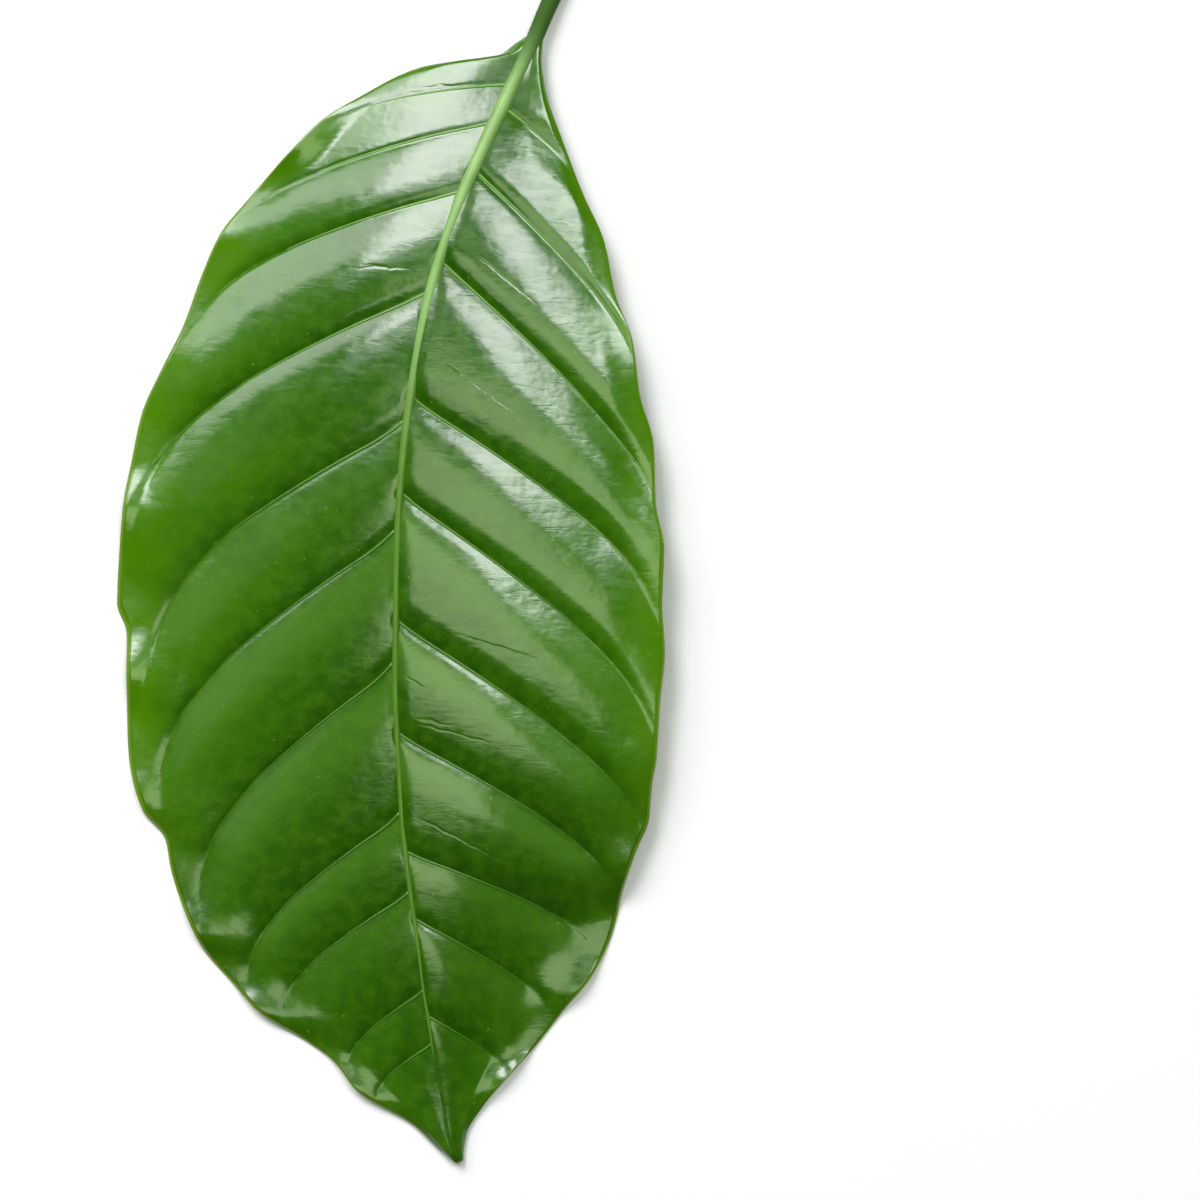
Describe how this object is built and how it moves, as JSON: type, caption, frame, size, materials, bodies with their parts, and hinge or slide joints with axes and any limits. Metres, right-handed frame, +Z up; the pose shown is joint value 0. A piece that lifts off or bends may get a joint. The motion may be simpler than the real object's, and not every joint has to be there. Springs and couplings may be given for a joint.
{
  "type": "coffee leaf",
  "caption": "Glossy pointed coffee leaf with a waved edge, swellings between its side veins, a raised midrib and a short stalk, lying on its underside.",
  "frame": {"origin": "centre of the leaf's bounding box, on the surface it lies on", "axes": "+Z up out of the glossy upper face, +Y from the tip to the stalk, +X to the right with the stalk at the top"},
  "size_m": [0.0731, 0.1601, 0.0092],
  "materials": {
    "leaf_green": "waxy and glossy above, paler and satin beneath"
  },
  "bodies": {
    "root": {"coffee_leaf": "leaf_green"}
  },
  "joints": []
}
